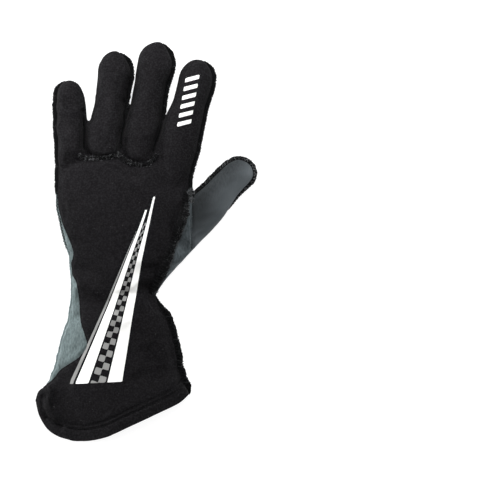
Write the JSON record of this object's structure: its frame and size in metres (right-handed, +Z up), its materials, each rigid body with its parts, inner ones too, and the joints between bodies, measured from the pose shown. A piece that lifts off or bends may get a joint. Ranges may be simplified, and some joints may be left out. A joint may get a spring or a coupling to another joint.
{
  "type": "racing glove",
  "caption": "Left-hand gauntlet racing glove: black knit back, grey suede palm, thumb and gusset, outside seams, long flared cuff, lying palm down.",
  "frame": {"origin": "on the surface the glove lies on, under the middle of its outline seen from above", "axes": "+Y from the cuff to the fingertips, +X towards the thumb, +Z up from the palm to the back"},
  "size_m": [0.1761, 0.3198, 0.0321],
  "materials": {
    "black_knit": "matte fine-gauge knit with a faint rib",
    "grey_suede": "matte suede with a short nap",
    "black_thread": "matte spun thread, slightly fuzzy",
    "grey_thread": "matte spun thread, slightly fuzzy",
    "white_print": "matte screen print on the knit",
    "grey_print": "matte screen print on the knit"
  },
  "bodies": {
    "root": {"back_panel": "black_knit", "ring_finger_back": "black_knit", "middle_finger_back": "black_knit", "cuff_hem": "black_knit", "palm_panel": "grey_suede", "side_gusset": "grey_suede", "thumb_back": "grey_suede", "thumb_front": "grey_suede", "little_finger_seam": "black_thread", "ring_finger_seam": "black_thread", "middle_finger_seam": "black_thread", "index_finger_seam": "black_thread", "thumb_seam": "black_thread", "back_side_seam": "black_thread", "cuff_side_seam": "black_thread", "knuckle_seam": "black_thread", "gusset_seam": "black_thread", "thumb_bar_tack": "grey_thread"}
  },
  "joints": []
}
